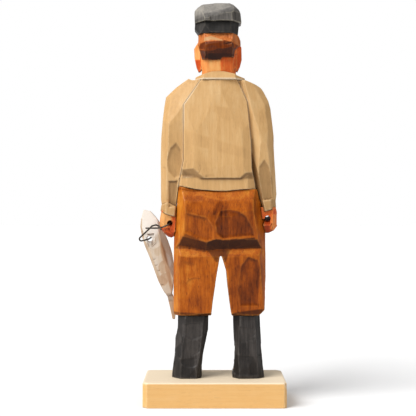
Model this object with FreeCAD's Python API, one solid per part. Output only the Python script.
"""Carved and painted wooden fisherman on a plain base board, a shelf figurine about 250 mm tall.

The figure is whittled in the flat-plane manner: every blank starts as the overlap of a front outline and a
side outline, as a band saw leaves it, and is then pared with straight knife cuts, so all its faces are flat.
The figure faces -Y and its left hand is on +X. A flat fish hangs from the left fist on a loop of iron wire.
Boots, trousers, sweater and sleeves are regions of one block that meet face to face. Head and fists are
carved apart and sit on hidden dowels, and two screws hold the boots to the base board.
Millimetres, +Z up, origin at the centre of the base board's underside.
"""

import FreeCAD, Part
import math
import os

Vector = FreeCAD.Vector

# Base board
BASE_LENGTH = 87.0
BASE_DEPTH = 50.0
BASE_TOP = 15.3
BASE_CORNERS = (2.6, 1.4, 3.2, 2.2)  # cut off the corners: back left, back right, front right, front left
BASE_EDGE = 0.5

# The figure stands a little to one side of the board's middle. All its parts are drawn about x = 0.
FIGURE_X = -2.4

# Heights of the paint lines, from the board's underside
LEG_HEM = 54.0
CROTCH = 91.0
BAND_TOP = 138.6  # top of the sweater's hem band
SHOULDER = 199.4  # flat on which the collar sits
CAP_SEAT = 228.0  # underside of the cap at the back of the head
CAP_BAND_TOP = 235.0
CAP_TOP = 248.6

# Fists and what is bored in them, along Y
FIST_FRONT = -5.5
FIST_BACK = 6.5
ROD_BORE = 3.6  # diameter of the hole through the right fist, for a fishing rod
ROD_X = -30.5
ROD_Z = 115.2  # height halfway through the fist
ROD_TILT = 14.0  # degrees that the hole climbs towards the front
ROD_ROOM = 1.0  # the drill's relief in the cuff above is wider than the hole by this much
TIE_BORE = 1.8  # diameter of the hole through the left fist, for the wire
TIE_MOUTH = 3.8  # its mouth at the back is opened with the knife tip
TIE_MOUTH_DEPTH = 3.0
TIE_X = 30.0
TIE_Z = 111.7
TIE_TILT = 8.0

# Fish and the wire that holds it
FISH_BACK = -8.0
FISH_FRONT = -15.6
GILL_BORE = 3.4
GILL_X = 43.6
GILL_Z = 100.8
WIRE_DIAMETER = 1.0
WIRE_BEND = 1.2  # smallest bend radius

# Hidden fastenings: diameter and length
NECK_DOWEL = (6.0, 18.0)
WRIST_DOWEL = (3.0, 11.0)
DOWEL_SLACK = 0.4  # air at each end of a dowel's hole
SCREW_LENGTH = 30.0
SCREW_CORE = 1.3
SCREW_RADIUS = 1.75
SCREW_HEAD = 3.4
SCREW_PITCH = 1.6

# Lines that two blanks share, top to bottom as (x, z)
LEFT_SEAM = [(10.7, SHOULDER), (21.4, 184.0), (21.4, 150.0), (23.6, 139.0), (24.4, 134.0)]
RIGHT_SEAM = [(-11.7, SHOULDER), (-17.7, 186.0), (-20.0, 161.0)]
RIGHT_FLANK = [(-20.5, 145.0), (-22.6, 136.0), (-23.0, 132.0)]
RIGHT_HIP = [(-24.0, 132.0), (-25.2, 126.0), (-28.7, 118.6)]
HEM = [(24.4, 134.0), (14.0, 131.8), (2.0, 130.8), (-5.0, 130.8), (-14.0, 131.7), (-23.0, 132.0)]
CROTCH_GAP = [
    (4.8, 50.0), (3.5, 62.5), (1.3, 77.0), (-0.9, CROTCH),
    (-1.9, CROTCH), (-4.9, 81.0), (-5.7, 72.0), (-7.5, 58.0), (-8.8, 50.0),
]

REACH = 60.0  # half the length of a blank before it is cut to its second outline
KNIFE = 400.0  # side of the block that a knife cut removes


def place(plane, a, b, c):
    """The point at (a, b) in the plane "xz", "yz" or "xy", c along the third axis."""
    return {"xz": Vector(a, c, b), "yz": Vector(c, a, b), "xy": Vector(a, b, c)}[plane]


def slab(plane, outline, start, end):
    """A plate with that outline, from start to end along the third axis."""
    loop = [place(plane, a, b, start) for a, b in outline]
    face = Part.Face(Part.makePolygon(loop + loop[:1]))
    return face.extrude(place(plane, 0, 0, end - start))


def blank(front, side):
    """What a saw leaves of a block after following a front outline and a side outline."""
    return slab("xz", front, -REACH, REACH).common(slab("yz", side, -REACH, REACH))


def beyond(cut, middle):
    """All that lies beyond a plane, given by three points, as seen from the middle."""
    a, b, c = (Vector(*p) for p in cut)
    normal = (b - a).cross(c - a).normalize()
    if normal.dot(middle - a) > 0:
        normal = -normal
    waste = Part.makeBox(KNIFE, KNIFE, KNIFE, Vector(-KNIFE / 2, -KNIFE / 2, 0))
    waste.Placement = FreeCAD.Placement(a, FreeCAD.Rotation(Vector(0, 0, 1), normal))
    return waste


def pare(solid, *cuts):
    """Slices off all that lies beyond each plane."""
    for cut in cuts:
        solid = solid.cut(beyond(cut, solid.CenterOfGravity))
    return solid


def undercut(solid, upper, lower, start, end):
    """Two knife cuts that meet inside the wood and lift out a wedge, between two values of x."""
    middle = solid.CenterOfGravity
    waste = beyond(upper, middle).common(beyond(lower, middle))
    return solid.cut(waste.common(slab("yz", [(0, 0), (REACH, 0), (REACH, KNIFE), (0, KNIFE)], start, end)))


def notch(solid, plane, outline, start, end):
    """Cuts a prism out of the solid."""
    return solid.cut(slab(plane, outline, start, end))


def rod(diameter, start, end):
    """A plain round rod between two points."""
    start, end = Vector(*start), Vector(*end)
    return Part.makeCylinder(diameter / 2, (end - start).Length, start, end - start)


def dowel(size, middle):
    """An upright round dowel with eased ends, and the hole that takes it, both centred on middle."""
    diameter, length = size
    x, y, z = middle
    peg = rod(diameter, (x, y, z - length / 2), (x, y, z + length / 2))
    peg = peg.makeChamfer(diameter / 12, [peg.Edges[0], peg.Edges[2]])
    slack = length / 2 + DOWEL_SLACK
    return peg, rod(diameter, (x, y, z - slack), (x, y, z + slack))


def base_board():
    x, y = BASE_LENGTH / 2, BASE_DEPTH / 2
    a, b, c, d = BASE_CORNERS
    outline = [
        (x - a, y), (b - x, y), (-x, y - b), (-x, c - y), (c - x, -y), (x - d, -y), (x, d - y), (x, y - a),
    ]
    board = slab("xy", outline, 0, BASE_TOP)
    rim = [e for e in board.Edges if e.BoundBox.ZMin > BASE_TOP - 0.01]
    board = board.makeChamfer(BASE_EDGE, rim)
    chip = [(-x, BASE_TOP), (-x, BASE_TOP - 4.2), (-x + 1.5, BASE_TOP)]
    return notch(board, "xz", chip, y - 3.4, y + 1)


def screw(x, y):
    """A countersunk wood screw driven up from the underside, its thread drawn as plain rings."""
    head_depth = 2.6
    outline = [(0, 0.5), (SCREW_HEAD, 0.5), (SCREW_HEAD, 0.8), (SCREW_CORE + 0.2, 0.5 + head_depth)]
    z = BASE_TOP - 3
    outline.append((SCREW_CORE + 0.2, z))
    while z < SCREW_LENGTH - 3:
        crest = (SCREW_RADIUS, z + SCREW_PITCH / 2)
        outline += [(SCREW_CORE, z + 0.2), crest, (SCREW_CORE, z + SCREW_PITCH - 0.2)]
        z += SCREW_PITCH
    outline.append((0, SCREW_LENGTH))
    points = [Vector(r, 0, z) for r, z in outline]
    profile = Part.Face(Part.makePolygon(points + points[:1]))
    turned = profile.revolve(Vector(0, 0, 0), Vector(0, 0, 1), 360)
    turned.translate(Vector(x, y, 0))
    slot = Part.makeBox(2 * SCREW_HEAD, 0.9, 1.3, Vector(x - SCREW_HEAD, y - 0.45, 0.2))
    well = Part.makeCylinder(SCREW_HEAD, 0.6, Vector(x, y, -0.05))
    return turned.cut(slot), turned.fuse(well)


SHAFT_SIDE = [
    (10.4, BASE_TOP), (10.7, 19.5), (9.3, 27.0), (8.8, 36.0), (9.3, 46.0), (9.5, LEG_HEM),
    (-9.8, LEG_HEM), (-9.2, 44.0), (-9.0, 36.5), (-9.8, BASE_TOP),
]
FOOT_SIDE = [
    (2.0, BASE_TOP), (-1.0, 33.0), (-8.6, 34.0), (-11.6, 30.8), (-16.0, 27.6), (-20.4, 24.0), (-22.0, 19.6),
    (-21.4, BASE_TOP),
]
BOOT_ARCH = [(0.8, BASE_TOP - 1), (0.4, BASE_TOP + 1.7), (-3.6, BASE_TOP + 1.3), (-4.6, BASE_TOP - 1)]


def boot(outline, shaft_cuts, foot_cuts):
    """A boot: an upright shaft with the foot reaching forward, and a notch for the arch at its outer side."""
    shaft = pare(blank(outline, SHAFT_SIDE), *shaft_cuts)
    foot = pare(blank(outline, FOOT_SIDE), *foot_cuts)
    outer = 1 if outline[0][0] > 0 else -1
    return notch(shaft.fuse(foot), "yz", BOOT_ARCH, 19.5 * outer, 40 * outer)


def left_boot():
    outline = [
        (10.3, BASE_TOP), (28.8, BASE_TOP), (28.5, 21.0), (27.3, 29.0), (27.0, 38.6), (25.4, 45.5),
        (25.2, LEG_HEM), (6.1, LEG_HEM), (6.3, 45.0), (7.6, 38.0), (9.4, 29.5), (10.2, 22.0),
    ]
    shaft_cuts = (
        ((25.2, 3.4, 52), (20.4, 9.4, 52), (23.4, 10.6, 17)),
        ((6.2, 4.6, 52), (10.6, 9.4, 52), (14.0, 10.7, 17)),
        ((25.2, -4.2, 52), (20.2, -9.8, 52), (23.4, -9.6, 17)),
        ((6.2, -4.4, 52), (10.6, -9.8, 52), (13.6, -9.6, 17)),
        ((19.4, 9.2, 50), (17.0, 10.6, 22), (13.2, 8.9, 40)),
    )
    foot_cuts = (
        ((28.8, -10.0, 16), (23.6, -22.0, 16), (27.0, -10.0, 30)),
        ((10.4, -9.0, 16), (15.6, -22.0, 16), (12.4, -9.0, 30)),
        ((28.4, -3.0, 25), (25.0, -3.0, 33), (23.0, -20.0, 22)),
        ((10.2, -3.0, 25), (13.6, -3.0, 33), (16.6, -20.0, 22)),
    )
    return boot(outline, shaft_cuts, foot_cuts)


def right_boot():
    outline = [
        (-8.6, BASE_TOP), (-28.6, BASE_TOP), (-28.0, 20.5), (-27.0, 30.0), (-26.5, 40.0), (-26.0, 48.0),
        (-25.8, LEG_HEM), (-9.2, LEG_HEM), (-9.4, 45.0), (-10.1, 33.0), (-9.6, 23.0),
    ]
    shaft_cuts = (
        ((-25.8, 3.6, 52), (-21.2, 9.4, 52), (-23.8, 10.6, 17)),
        ((-9.3, 4.2, 52), (-13.2, 9.4, 52), (-12.8, 10.6, 17)),
        ((-25.8, -4.2, 52), (-21.0, -9.8, 52), (-23.8, -9.6, 17)),
        ((-9.3, -4.4, 52), (-13.6, -9.8, 52), (-13.0, -9.6, 17)),
        ((-14.6, 9.3, 50), (-16.0, 10.6, 22), (-20.6, 8.9, 40)),
    )
    foot_cuts = (
        ((-28.6, -10.0, 16), (-23.4, -22.0, 16), (-26.8, -10.0, 30)),
        ((-8.8, -9.0, 16), (-14.2, -22.0, 16), (-10.8, -9.0, 30)),
        ((-28.2, -3.0, 25), (-24.8, -3.0, 33), (-22.8, -20.0, 22)),
        ((-9.2, -3.0, 25), (-12.4, -3.0, 33), (-15.6, -20.0, 22)),
    )
    return boot(outline, shaft_cuts, foot_cuts)


def trousers():
    front = HEM + RIGHT_HIP + [
        (-29.3, 111.0), (-29.2, 97.0), (-29.4, 77.0),
        (-28.6, 57.4), (-25.6, LEG_HEM + 0.6), (-24.8, LEG_HEM), (26.0, LEG_HEM), (27.8, LEG_HEM + 0.9),
        (27.7, 77.0), (27.6, 97.0), (27.2, 112.0), (25.9, 120.4),
    ]
    side = [
        (10.2, 135.0), (10.8, 130.6), (13.6, 125.0), (15.9, 116.0), (15.9, 103.0), (12.9, 90.0),
        (12.7, 84.0), (12.2, 70.0), (11.9, LEG_HEM), (-12.6, LEG_HEM), (-13.6, 75.0), (-13.4, 90.0),
        (-13.2, 106.0), (-13.5, 120.0), (-12.4, 135.0),
    ]
    piece = notch(blank(front, side), "xz", CROTCH_GAP, -REACH, REACH)
    piece = pare(
        piece,
        # back corners, hip and leg
        ((27.5, 5.5, 100), (20.4, 16.2, 104), (20.8, 14.2, 122)),
        ((27.7, 6.2, 70), (22.6, 12.4, 70), (23.6, 13.4, 94)),
        ((-29.2, 5.5, 100), (-22.9, 16.0, 103), (-21.6, 14.2, 122)),
        ((-29.3, 6.6, 70), (-25.2, 12.4, 70), (-24.2, 13.4, 94)),
        # front corners, deep enough for the fish to hang beside the left leg
        ((27.6, -2.5, 90), (19.6, -13.6, 90), (19.6, -13.0, 58)),
        ((-29.2, -4.5, 90), (-22.4, -13.6, 90), (-22.4, -13.0, 58)),
        ((25.6, -5.0, 124), (19.0, -13.4, 122), (19.6, -13.6, 100)),
        ((-26.0, -5.0, 124), (-20.0, -13.4, 122), (-22.4, -13.6, 100)),
        # seat: each buttock is a flat that leans in towards the legs
        ((20.4, 14.8, 115.5), (7.0, 16.2, 117.4), (9.0, 14.6, 100.5)),
        ((-22.6, 14.6, 115.8), (-5.0, 16.2, 117.6), (-8.0, 14.4, 100.5)),
    )
    # below the seat: a wedge lifted out above each thigh
    thigh_tops = ((20.0, 10.0, 95.9), (-20.0, 10.0, 95.9), (0.0, 13.0, 90.4))
    left_seat = ((20.4, 14.8, 104.8), (6.6, 14.0, 98.2), (17.4, 10.0, 95.4))
    right_seat = ((-22.2, 14.0, 102.2), (6.6, 13.8, 98.2), (-12.0, 10.0, 95.0))
    piece = undercut(piece, left_seat, thigh_tops, 6.6, 40)
    piece = undercut(piece, right_seat, thigh_tops, -40, 6.6)
    # bevels under the hems, deepest at the back
    left_hem = [(13, LEG_HEM - 1), (8.4, LEG_HEM - 1), (9.2, LEG_HEM), (13, LEG_HEM + 3.2)]
    right_hem = [(13, LEG_HEM - 1), (8.0, LEG_HEM - 1), (9.0, LEG_HEM), (13, LEG_HEM + 4.2)]
    piece = notch(piece, "yz", left_hem, 0, 40)
    piece = notch(piece, "yz", right_hem, -40, 0)
    return piece


def torso():
    rim = LEFT_SEAM + HEM[1:-1] + RIGHT_FLANK[::-1] + RIGHT_SEAM[::-1]
    blouse_side = [
        (11.3, SHOULDER), (12.5, 190.0), (13.1, 176.0), (13.3, 160.0), (13.5, 146.0), (12.9, BAND_TOP),
        (-13.8, BAND_TOP), (-14.8, 150.0), (-14.4, 170.0), (-12.8, 188.0), (-9.6, SHOULDER),
    ]
    band_side = [(11.7, BAND_TOP + 1), (11.5, 129.0), (-13.0, 129.0), (-13.2, BAND_TOP + 1)]
    blouse = blank(rim, blouse_side)
    blouse = pare(
        blouse,
        # yoke, its ridge running down to the left
        ((10.0, 10.7, SHOULDER), (19.4, 10.9, 185.0), (6.0, 12.9, 181.0)),
        ((-2.0, 11.2, SHOULDER), (-15.6, 9.9, 190.0), (-6.0, 13.0, 180.0)),
        # long flats of the back
        ((21.4, 10.9, 176), (21.6, 11.4, 146), (15.0, 13.4, 160)),
        ((-20.0, 11.4, 165), (-21.0, 11.6, 146), (-14.4, 13.4, 160)),
        # chest
        ((21.4, -10.6, 176), (22.0, -11.2, 146), (14.0, -14.6, 160)),
        ((-19.4, -10.6, 176), (-21.0, -11.2, 146), (-13.0, -14.6, 160)),
        ((9.0, -9.8, SHOULDER), (19.4, -9.4, 186), (8.0, -13.2, 183)),
        ((-9.0, -9.8, SHOULDER), (-17.4, -9.4, 186), (-8.0, -13.2, 183)),
        # where the cloth gathers over the band
        ((20.9, 11.4, 144.0), (8.2, 12.9, 138.5), (17.0, 9.8, 137.6)),
        ((-12.8, 12.9, 138.7), (-20.6, 11.3, 141.6), (-17.0, 10.2, 136.9)),
    )
    band = blank(rim, band_side)
    band = pare(
        band,
        ((24.2, 8.4, 135), (19.0, 11.6, 132), (19.0, 11.8, 138)),
        ((-22.9, 8.6, 135), (-17.8, 11.6, 132), (-17.8, 11.8, 138)),
        ((24.2, -8.6, 135), (18.0, -13.0, 132), (18.0, -13.2, 138)),
        ((-22.9, -8.6, 135), (-17.0, -13.0, 132), (-17.0, -13.2, 138)),
    )
    return blouse.fuse(band)


def left_sleeve():
    front = LEFT_SEAM[:3] + [
        (23.8, 139.0), (24.7, 133.0), (26.3, 121.0), (35.2, 121.0), (36.0, 127.0), (35.9, 150.0),
        (35.5, 164.0), (33.6, 184.0), (32.8, 189.2), (25.9, 195.6), (18.4, 200.4), (16.4, SHOULDER),
    ]
    side = [
        (8.6, 201.0), (10.0, 197.0), (10.4, 189.0), (10.9, 176.0), (11.4, 160.0), (9.6, 142.0),
        (9.0, 127.0), (7.0, 121.0), (-6.4, 121.0), (-8.4, 127.0), (-9.4, 140.0), (-9.8, 160.0),
        (-9.6, 182.0), (-7.6, 192.0), (-4.4, 201.0),
    ]
    arm = pare(
        blank(front, side),
        # shoulder
        ((10.7, 10.4, SHOULDER), (21.4, 10.9, 184.0), (25.4, 6.0, 193.6)),
        ((32.8, 2.0, 189.2), (25.9, 3.4, 195.6), (26.4, 8.6, 189.6)),
        ((33.4, 3.0, 184), (26.6, 9.2, 189.4), (30.4, 9.4, 178)),
        # outer corner of the upper arm and elbow
        ((34.6, 5.4, 172), (31.6, 9.6, 172), (30.4, 10.6, 158)),
        ((35.7, 3.0, 158), (31.4, 10.0, 160), (31.0, 8.4, 136)),
        # back of the elbow, leaning in to the forearm
        ((31.2, 10.0, 160.6), (22.0, 11.0, 162.0), (25.0, 7.4, 138.0)),
        ((31.0, 8.8, 143), (24.0, 8.4, 143), (28.0, 6.9, 122)),
        # front
        ((35.6, -4.0, 160), (30.6, -9.8, 160), (30.8, -9.2, 132)),
        ((33.4, -3.0, 184), (27.0, -8.6, 190), (30.0, -9.8, 174)),
        ((10.7, -8.6, SHOULDER), (21.4, -9.8, 184), (25.4, -4.8, 193.6)),
    )
    cuff_front = [
        (24.0, 121.2), (26.4, 121.4), (31.4, 124.0), (35.4, 122.4), (36.0, 118.4), (31.4, 116.2),
        (27.0, 115.0), (24.0, 115.0),
    ]
    cuff_side = [(8.5, 125.0), (8.8, 114.0), (-7.8, 114.0), (-7.6, 125.0)]
    cuff = pare(
        blank(cuff_front, cuff_side),
        ((36.0, 3.6, 118), (32.6, 8.7, 116), (32.4, 8.5, 122)),
        ((36.0, -3.0, 118), (32.4, -7.7, 116), (32.2, -7.6, 122)),
        ((25.6, 4.0, 118), (27.2, 8.8, 115), (26.5, 8.6, 122)),
    )
    return arm.fuse(cuff)


def right_sleeve():
    front = RIGHT_SEAM + RIGHT_FLANK + RIGHT_HIP + [
        (-28.9, 121.6), (-35.4, 122.6), (-36.3, 129.0), (-35.4, 145.0), (-34.6, 155.0), (-34.4, 165.0),
        (-32.5, 182.0), (-31.1, 187.0), (-28.2, 192.6), (-26.4, 195.2), (-23.4, 196.8), (-16.6, SHOULDER),
    ]
    side = [
        (8.6, 201.0), (9.8, 196.0), (10.4, 188.0), (10.8, 176.0), (11.2, 158.0), (9.4, 142.0),
        (8.7, 130.0), (6.6, 122.0), (-6.4, 122.0), (-8.4, 130.0), (-9.4, 140.0), (-9.8, 160.0),
        (-9.6, 182.0), (-7.6, 192.0), (-4.4, 201.0),
    ]
    arm = pare(
        blank(front, side),
        # shoulder
        ((-11.7, 10.2, SHOULDER), (-17.7, 10.4, 186.0), (-21.6, 7.8, 193.4)),
        ((-28.2, 3.0, 192.6), (-23.0, 6.8, 194.6), (-27.4, 9.2, 182.0)),
        ((-31.1, 3.4, 187.0), (-27.4, 9.4, 183.0), (-31.4, 7.6, 170.0)),
        # hollow flat beside the back
        ((-17.9, 8.8, 184), (-20.1, 8.4, 160), (-23.2, 10.6, 172)),
        # outer corner of the upper arm and elbow
        ((-33.6, 4.6, 172), (-29.4, 9.9, 172), (-30.0, 10.6, 158)),
        ((-34.9, 3.6, 156), (-31.0, 9.8, 158), (-34.6, 4.8, 132)),
        # back of the elbow, leaning in to the forearm
        ((-27.0, 10.8, 157.6), (-24.6, 9.4, 142.0), (-32.6, 7.6, 136.0)),
        # groove between arm and back
        ((-20.2, 10.9, 162), (-23.0, 1.6, 132), (-25.0, 9.3, 140)),
        # front
        ((-35.2, -4.0, 160), (-30.2, -9.8, 160), (-30.8, -9.2, 132)),
        ((-32.4, -3.0, 184), (-26.0, -8.6, 190), (-29.0, -9.8, 174)),
        ((-11.7, -8.6, SHOULDER), (-18.4, -9.8, 184), (-23.4, -4.8, 193.6)),
    )
    crease = slab("yz", [(12.0, 156.2), (9.3, 154.6), (12.0, 154.0)], -34.0, -28.0)
    arm = arm.cut(crease)
    cuff_front = [
        (-23.0, 124.6), (-27.5, 124.8), (-35.6, 126.3), (-36.0, 120.4), (-28.9, 118.2), (-23.0, 118.2),
    ]
    cuff_side = [(8.0, 127.0), (8.3, 117.0), (-7.8, 117.0), (-7.6, 127.0)]
    cuff = pare(
        blank(cuff_front, cuff_side),
        ((-35.9, 3.4, 122), (-32.4, 8.1, 120), (-32.2, 8.1, 126)),
        ((-35.9, -3.0, 122), (-32.4, -7.7, 120), (-32.2, -7.6, 126)),
        ((-25.4, 1.0, 125), (-27.5, 7.8, 125), (-28.7, 7.8, 118.5)),
    )
    return arm.fuse(cuff)


def cross_hole(diameter, x, z, tilt):
    """A hole through a fist from back to front, climbing by the tilt, with z its height halfway through."""
    run = 12.0
    climb = run * math.tan(math.radians(tilt))
    middle = (FIST_FRONT + FIST_BACK) / 2
    return rod(diameter, (x, middle + run, z - climb), (x, middle - run, z + climb))


def left_hand():
    front = [
        (24.0, 105.0), (27.0, 103.0), (29.0, 102.0), (31.4, 102.6), (36.0, 107.6), (36.5, 111.6),
        (36.2, 114.6), (35.2, 119.0), (24.0, 119.0),
    ]
    side = [
        (FIST_BACK, 119.0), (FIST_BACK, 103.0), (4.0, 101.0), (-3.0, 101.0), (FIST_FRONT, 104.0),
        (FIST_FRONT, 119.0),
    ]
    fist = pare(
        blank(front, side),
        ((36.4, 2.4, 110), (33.6, FIST_BACK, 110), (34.4, FIST_BACK, 117)),
        ((36.4, -1.6, 110), (33.4, FIST_FRONT, 110), (34.2, FIST_FRONT, 117)),
        ((33.6, FIST_BACK, 107.2), (28.0, FIST_BACK, 106.0), (31.0, 4.6, 102.0)),
    )
    # the line where the fingers close on the thumb
    groove = [(30.2, 108.0), (31.3, 107.6), (28.9, 103.0), (28.4, 103.4)]
    fist = notch(fist, "xz", groove, FIST_BACK - 0.8, 9)
    start = Vector(TIE_X, FIST_BACK - TIE_MOUTH_DEPTH, TIE_Z - 0.7)
    mouth = Part.makeCone(TIE_BORE / 2, TIE_MOUTH / 2, TIE_MOUTH_DEPTH, start, Vector(0, 1, 0))
    return fist.cut(cross_hole(TIE_BORE, TIE_X, TIE_Z, TIE_TILT)).cut(mouth)


def right_hand():
    front = [
        (-25.0, 106.4), (-27.8, 104.8), (-31.4, 105.0), (-34.6, 106.6), (-36.6, 109.0), (-36.6, 117.6),
        (-35.6, 121.0), (-25.0, 121.0),
    ]
    side = [
        (FIST_BACK, 121.0), (FIST_BACK, 106.4), (4.2, 104.4), (-3.4, 104.4), (FIST_FRONT, 107.0),
        (FIST_FRONT, 121.0),
    ]
    fist = pare(
        blank(front, side),
        ((-36.5, 2.6, 113), (-33.8, FIST_BACK, 113), (-34.2, FIST_BACK, 119)),
        ((-36.5, -1.6, 113), (-33.6, FIST_FRONT, 113), (-34.2, FIST_FRONT, 119)),
        ((-27.6, FIST_BACK, 110.0), (-35.0, FIST_BACK, 109.0), (-31.0, 4.6, 105.0)),
    )
    groove = [(-32.6, 110.8), (-33.6, 110.6), (-32.2, 106.0), (-31.4, 106.2)]
    fist = notch(fist, "xz", groove, FIST_BACK - 0.8, 9)
    # the lower lip of the rod's hole is pared away at the back
    fist = notch(fist, "yz", [(4.0, 112.4), (3.8, 113.6), (9.0, 113.6), (9.0, 107.4)], -31.9, -26.0)
    return fist.cut(cross_hole(ROD_BORE, ROD_X, ROD_Z, ROD_TILT))


def collar():
    front = [
        (14.6, SHOULDER), (14.0, 201.6), (8.6, 203.0), (3.7, 204.5), (-3.7, 204.6), (-10.6, 203.0),
        (-11.2, 202.2), (-16.4, 200.9), (-16.8, SHOULDER),
    ]
    side = [(12.0, SHOULDER), (12.1, 200.2), (10.0, 204.8), (-9.8, 204.8), (-14.2, 202.4), (-14.0, SHOULDER)]
    ring = pare(
        blank(front, side),
        ((14.6, 4.4, SHOULDER), (9.6, 12.1, SHOULDER), (9.0, 10.4, 204.4)),
        ((-16.8, 4.6, SHOULDER), (-10.8, 12.1, SHOULDER), (-10.0, 10.4, 204.0)),
        ((15.6, -5.0, SHOULDER), (8.0, -14.0, SHOULDER), (8.0, -12.4, 204.0)),
        ((-16.2, -5.0, SHOULDER), (-8.0, -14.0, SHOULDER), (-8.0, -12.4, 204.0)),
    )
    opening = [(0.4, 208), (2.8, 208), (0.6, SHOULDER + 1.4), (-0.6, SHOULDER + 1.4), (-2.8, 208)]
    return notch(ring, "xz", opening, -20, -8)


def head():
    front = [
        (10.4, SHOULDER), (10.2, 206.0), (11.2, 210.0), (11.6, 216.0), (11.2, 224.0), (10.6, CAP_SEAT),
        (-10.6, CAP_SEAT), (-11.2, 224.0), (-11.4, 216.0), (-11.0, 210.0), (-10.9, 206.0),
        (-10.9, SHOULDER),
    ]
    side = [
        (8.6, SHOULDER), (9.2, 211.0), (9.6, CAP_SEAT), (-11.2, CAP_SEAT), (-12.2, 221.6), (-11.0, 218.6),
        (-11.6, 214.0), (-11.2, 210.0), (-12.6, 206.4), (-11.6, 203.2), (-8.6, 201.0), (-8.2, SHOULDER),
    ]
    skull = pare(
        blank(front, side),
        ((11.4, -4.0, 216), (6.2, -12.2, 216), (7.0, -12.0, 224)),
        ((-11.4, -4.0, 216), (-6.2, -12.2, 216), (-7.0, -12.0, 224)),
        ((11.2, -3.0, 210), (5.0, -12.4, 206), (7.0, -11.0, 213)),
        ((-11.2, -3.0, 210), (-5.0, -12.4, 206), (-7.0, -11.0, 213)),
        ((8.0, -9.0, 206), (3.2, -12.8, 205), (6.0, -8.0, 202)),
        ((-8.0, -9.0, 206), (-3.2, -12.8, 205), (-6.0, -8.0, 202)),
        ((10.3, 4.6, 206), (6.6, 9.0, 206), (6.8, 9.4, 216)),
        ((-10.9, 4.6, 206), (-7.4, 9.0, 206), (-7.4, 9.4, 216)),
        # the nape: two flats that meet right of the middle
        ((-1.6, 9.0, 200), (-1.6, 9.6, 214), (10.0, 7.9, 206)),
        ((-1.6, 9.0, 200), (-1.6, 9.6, 214), (-10.9, 6.6, 206)),
    )
    for hand in (1, -1):
        hollow = [(-14, 220.6), (-10.3, 218.9), (-10.7, 217.2), (-14, 216.2)]
        socket = slab("yz", hollow, 2.0 * hand, 8.4 * hand)
        skull = skull.cut(socket)
    mouth = slab("yz", [(-14, 208.9), (-10.6, 208.5), (-14, 207.9)], -4.0, 4.0)
    skull = skull.cut(mouth)
    profile = [(-10.2, 220.6), (-12.3, 220.2), (-16.0, 213.0), (-15.2, 211.6), (-10.4, 211.4)]
    nose = pare(
        slab("yz", profile, -2.7, 2.7),
        ((2.7, -11.4, 212), (1.9, -15.6, 212), (1.2, -12.0, 220)),
        ((-2.7, -11.4, 212), (-1.9, -15.6, 212), (-1.2, -12.0, 220)),
    )
    return skull.fuse(nose).fuse(ear(EAR_LEFT, 1)).fuse(ear(EAR_RIGHT, -1))


EAR_LEFT = [
    (10.0, 222.6), (12.6, 223.4), (15.1, 219.8), (14.8, 214.0), (13.6, 208.2), (12.2, 205.0), (10.9, 205.4),
    (10.0, 210.0),
]
EAR_RIGHT = [
    (-10.0, 222.0), (-12.4, 223.0), (-14.5, 220.6), (-14.7, 213.0), (-13.6, 208.6), (-12.0, 205.2),
    (-10.9, 206.0), (-10.0, 210.0),
]


def ear(outline, hand):
    """An ear with its back face set at an angle and a scooped front."""
    lobe = slab("xz", outline, -2.6, 3.2)
    lobe = pare(
        lobe,
        ((11.0 * hand, 3.2, 214), (15.0 * hand, 0.6, 218), (12.2 * hand, 1.6, 206)),
        ((11.0 * hand, -2.6, 214), (15.0 * hand, -1.6, 218), (12.2 * hand, -1.6, 206)),
    )
    scoop = [(12.2, 220.6), (13.8, 219.0), (13.6, 214.6), (12.4, 211.4), (11.9, 215.0)]
    return notch(lobe, "xz", [(x * hand, z) for x, z in scoop], -4.0, -1.2)


def hair(skull):
    front = [
        (12.3, CAP_SEAT), (12.6, 222.0), (11.8, 219.0), (10.0, 212.4), (4.6, 211.4), (-1.4, 211.8),
        (-2.6, 213.2), (-9.6, 213.4), (-10.2, 218.0), (-12.6, 220.6), (-14.0, 221.2), (-13.9, 224.6),
        (-12.8, 227.0), (-11.9, CAP_SEAT),
    ]
    side = [
        (10.4, CAP_SEAT), (10.9, 226.0), (13.2, 222.6), (13.0, 217.4), (9.8, 211.0), (4.0, 211.0),
        (-3.6, 217.0), (-4.6, 221.0), (-4.6, CAP_SEAT),
    ]
    thatch = pare(
        blank(front, side),
        ((12.5, 4.6, 222), (8.0, 12.6, 221), (8.4, 10.6, CAP_SEAT)),
        ((-12.4, 4.6, 222), (-8.6, 12.6, 221), (-8.8, 10.6, CAP_SEAT)),
        ((12.2, 5.6, 219), (9.0, 12.4, 219.6), (8.6, 9.6, 211.6)),
        ((-11.8, 5.6, 219), (-9.2, 12.4, 219.6), (-9.0, 9.6, 213.2)),
        ((9.6, 12.6, 221.6), (-6.0, 13.1, 223.0), (2.0, 10.8, 226.8)),
        ((4.6, 13.0, 217.6), (-9.0, 12.4, 218.0), (-2.0, 10.4, 212.4)),
    )
    return thatch.cut(skull)


def cap_band():
    front = [(14.5, CAP_BAND_TOP), (14.7, 231.4), (11.9, CAP_SEAT), (-12.2, CAP_SEAT), (-12.9, CAP_BAND_TOP)]
    side = [(11.6, CAP_BAND_TOP), (11.9, CAP_SEAT), (-13.4, CAP_SEAT), (-14.0, CAP_BAND_TOP)]
    return pare(
        blank(front, side),
        ((14.6, 3.8, 232), (8.6, 11.8, 232), (8.2, 11.6, 235)),
        ((-12.6, 5.0, 232), (-7.6, 11.8, 232), (-7.8, 11.6, 235)),
        ((14.6, -5.0, 232), (8.2, -13.8, 232), (8.0, -14.0, 235)),
        ((-12.8, -5.0, 232), (-7.4, -13.8, 232), (-7.6, -14.0, 235)),
        ((11.0, 9.4, CAP_SEAT), (3.0, 12.2, CAP_SEAT + 0.2), (8.6, 11.6, 232.4)),
    )


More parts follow.
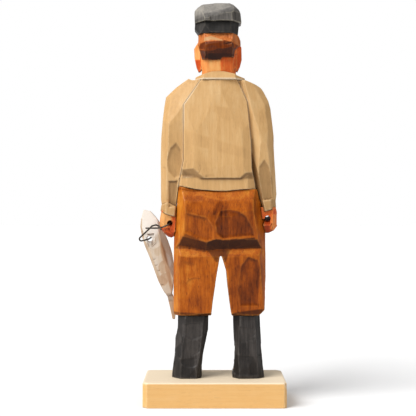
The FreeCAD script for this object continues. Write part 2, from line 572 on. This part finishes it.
def cap_crown():
    front = [
        (14.6, CAP_BAND_TOP), (14.9, 242.6), (12.8, 245.4), (10.4, 247.2), (2.6, CAP_TOP), (-7.1, CAP_TOP),
        (-10.2, 246.6), (-13.0, 243.6), (-13.8, 240.6), (-14.4, CAP_BAND_TOP),
    ]
    side = [
        (13.8, CAP_BAND_TOP), (13.4, 240.4), (-1.0, CAP_TOP + 0.4), (-13.0, CAP_TOP + 0.6), (-17.0, 244.6),
        (-17.4, 238.6), (-15.0, CAP_BAND_TOP),
    ]
    return pare(
        blank(front, side),
        ((14.8, 4.0, 238), (8.4, 13.4, 238), (8.2, 13.0, 241)),
        ((-14.3, 5.4, 238), (-8.4, 13.5, 238), (-8.2, 13.2, 241)),
        ((14.6, 2.0, 244), (9.4, 11.4, 241.4), (7.6, 2.0, 248.2)),
        ((-13.2, 3.4, 243), (-9.0, 12.2, 241.4), (-8.0, 3.0, 247.6)),
        ((14.8, -6.0, 240), (8.0, -17.0, 240), (8.4, -16.0, 244)),
        ((-14.1, -6.0, 240), (-7.6, -17.0, 240), (-8.0, -16.0, 244)),
        ((10.0, 13.6, 236.6), (-2.0, 14.0, 238.6), (6.0, 9.4, 243.4)),
    )


def cap_peak():
    """The stiff peak, a thin board that slopes down to the front."""
    half = [(12.6, -9.6), (12.2, -16.6), (8.6, -22.0), (3.4, -24.6)]
    outline = half + [(-x, y) for x, y in reversed(half)]
    board = slab("xy", outline, 227.6, 229.8)
    board.rotate(Vector(0, -12, 229), Vector(1, 0, 0), 14)
    return board


def fish():
    front = [
        (47.5, 119.4), (42.9, 118.4), (39.3, 114.4), (36.9, 111.0), (33.7, 104.0), (31.2, 98.0),
        (29.2, 92.0), (28.2, 85.0), (28.0, 77.0), (28.6, 70.0), (29.4, 65.2), (32.4, 64.4), (34.6, 67.4),
        (37.8, 73.6), (40.4, 80.8), (43.1, 88.0), (46.7, 96.4), (48.6, 102.4), (49.4, 108.2),
        (48.9, 113.4),
    ]
    side = [
        (-10.4, 119.4), (-9.0, 114.0), (FISH_BACK, 106.0), (FISH_BACK, 90.0), (-9.2, 78.0), (-10.8, 64.2),
        (-13.2, 64.2), (-14.6, 78.0), (FISH_FRONT, 90.0), (FISH_FRONT, 106.0), (-14.4, 114.0),
        (-12.8, 119.4),
    ]
    body = pare(
        blank(front, side),
        # the back's edge, seen as a long flat beside the leg
        ((38.0, FISH_BACK, 106), (32.8, FISH_BACK - 0.2, 86), (30.4, -11.6, 96)),
        ((38.0, FISH_FRONT, 106), (32.8, FISH_FRONT + 0.2, 86), (30.4, -12.0, 96)),
        # the belly's edge
        ((46.6, FISH_BACK, 104), (40.7, FISH_BACK - 0.4, 84), (45.7, -10.8, 94)),
        ((46.6, FISH_FRONT, 104), (40.7, FISH_FRONT + 0.4, 84), (45.7, -12.8, 94)),
        # the head, tapering to the nose
        ((45.7, -8.6, 109), (40.5, -8.4, 110), (45.5, -10.2, 118.6)),
        ((45.7, -15.0, 109), (40.5, -15.2, 110), (45.5, -13.2, 118.6)),
    )
    # gill: a shallow stop cut behind the cheek, both sides
    gill = [(45.9, 103.8), (40.5, 104.2), (39.8, 98.2), (42.3, 96.0), (41.9, 99.8), (43.0, 102.4)]
    for start, end in ((FISH_BACK - 0.7, FISH_BACK + 1), (FISH_FRONT - 1, FISH_FRONT + 0.7)):
        body = notch(body, "xz", gill, start, end)
    # the forked tail fin, a thin blade in line with the body
    fork = [
        (32.4, 64.6), (30.8, 58.0), (29.0, 49.6), (27.4, 49.6), (26.6, 57.4), (25.0, 49.0), (22.4, 47.6),
        (25.6, 58.4), (29.2, 66.0),
    ]
    body = body.fuse(slab("xz", fork, -12.9, -11.1))
    return body.cut(rod(GILL_BORE, (GILL_X, -20, GILL_Z), (GILL_X, -4, GILL_Z)))


def wire_route():
    """Corners of the wire from one cut end over the fist, through both holes and back round the twist."""
    return [
        (45.4, -1.0, 107.8), (41.4, 0.6, 107.8), (37.6, 4.2, 107.9), (34.3, 7.7, 108.6),
        (TIE_X, 8.6, TIE_Z - 1.14), (TIE_X, -8.2, TIE_Z + 1.22), (33.2, FISH_FRONT - 1.0, 108.4),
        (GILL_X + 0.3, FISH_FRONT - 1.4, GILL_Z), (GILL_X + 0.3, FISH_BACK + 1.7, GILL_Z),
        (47.0, FISH_BACK + 1.8, 99.9), (49.2, FISH_BACK + 2.0, 99.5), (49.9, FISH_BACK + 2.4, 101.2),
        (43.8, -2.2, 106.8), (41.4, -0.4, 109.2), (38.8, 2.9, 109.9), (36.7, 6.4, 109.2),
        (35.3, 8.0, 107.0),
    ]


def bent(route, least):
    """Straight runs joined by tangent arcs, each as large as its two runs allow but at least the given radius."""
    points = [Vector(*p) for p in route]
    edges = []
    at = points[0]
    for before, corner, after in zip(points, points[1:], points[2:]):
        back, on = before - corner, after - corner
        half = (math.pi - back.getAngle(on)) / 2
        trim = max(0.45 * min(back.Length, on.Length), 0.0)
        trim = min(trim, max(least, 2.0) * math.tan(half))
        start = corner + back.normalize() * trim
        end = corner + on.normalize() * trim
        inward = (back + on).normalize()
        middle = corner + inward * (trim / math.tan(half) * (1 / math.cos(half) - 1))
        edges += [Part.LineSegment(at, start).toShape(), Part.Arc(start, middle, end).toShape()]
        at = end
    edges.append(Part.LineSegment(at, points[-1]).toShape())
    return Part.Wire(edges)


def tie_wire():
    path = bent(wire_route(), WIRE_BEND)
    first = path.Edges[0]
    along = first.tangentAt(first.FirstParameter)
    ring = Part.Wire(Part.makeCircle(WIRE_DIAMETER / 2, first.Vertexes[0].Point, along))
    sweep = Part.BRepOffsetAPI.MakePipeShell(path)
    sweep.add(ring, False, False)
    sweep.build()
    sweep.makeSolid()
    solid = sweep.shape()
    expected = math.pi * WIRE_DIAMETER**2 / 4 * path.Length
    print(f"wire: length {path.Length:.1f} mm, volume {solid.Volume:.2f} of {expected:.2f} mm3")
    return solid


def build():
    """Every node by name, in the figure's own frame, with all holes cut."""
    nodes = {
        "left_boot": left_boot(),
        "right_boot": right_boot(),
        "trousers": trousers(),
        "sweater": torso(),
        "left_sleeve": left_sleeve(),
        "right_sleeve": right_sleeve(),
        "left_hand": left_hand(),
        "right_hand": right_hand(),
        "head": head(),
        "cap_band": cap_band(),
        "cap_crown": cap_crown(),
        "cap_peak": cap_peak(),
        "fish": fish(),
        "tie_wire": tie_wire(),
    }
    nodes["hair"] = hair(nodes["head"])
    nodes["collar"] = collar().cut(nodes["head"])
    nodes["trousers"] = nodes["trousers"].cut(cross_hole(ROD_BORE, ROD_X, ROD_Z, ROD_TILT))
    relief = cross_hole(ROD_BORE + ROD_ROOM, ROD_X, ROD_Z, ROD_TILT)
    nodes["right_sleeve"] = nodes["right_sleeve"].cut(relief)
    for side in ("left", "right"):
        nodes[side + "_sleeve"] = nodes[side + "_sleeve"].cut(nodes["trousers"])
        nodes[side + "_hand"] = nodes[side + "_hand"].cut(nodes["trousers"]).cut(nodes[side + "_sleeve"])
    nodes["cap_peak"] = nodes["cap_peak"].cut(nodes["cap_band"]).cut(nodes["head"]).cut(nodes["hair"])

    pegs = {
        "neck_dowel": (NECK_DOWEL, (-0.2, -0.5, SHOULDER), ("head", "sweater")),
        "left_wrist_dowel": (WRIST_DOWEL, (33.0, 0, 120.0), ("left_sleeve", "left_hand")),
        "right_wrist_dowel": (WRIST_DOWEL, (-33.4, 0, 124.4), ("right_sleeve", "right_hand")),
    }
    for name, (size, middle, held) in pegs.items():
        nodes[name], hole = dowel(size, middle)
        for other in held:
            nodes[other] = nodes[other].cut(hole)
    return nodes


def main():
    os.makedirs("parts", exist_ok=True)
    nodes = build()
    for shape in nodes.values():
        shape.translate(Vector(FIGURE_X, 0, 0))
    board = base_board()
    screws = []
    for x, boot in ((19.4, "left_boot"), (-18.4, "right_boot")):
        body, room = screw(x + FIGURE_X, -2.0)
        screws.append(body)
        board = board.cut(room)
        nodes[boot] = nodes[boot].cut(room)
    nodes["base_board"] = board
    nodes["base_screws"] = Part.makeCompound(screws)
    for name, shape in sorted(nodes.items()):
        shape = shape.removeSplitter() if name != "tie_wire" else shape
        solids = shape.Solids
        print(f"{name:22s} solids {len(solids)} valid {shape.isValid()} volume {shape.Volume:.1f}")
        whole = solids[0] if len(solids) == 1 else Part.makeCompound(solids)
        whole.exportStep(os.path.join("parts", name + ".step"))


main()
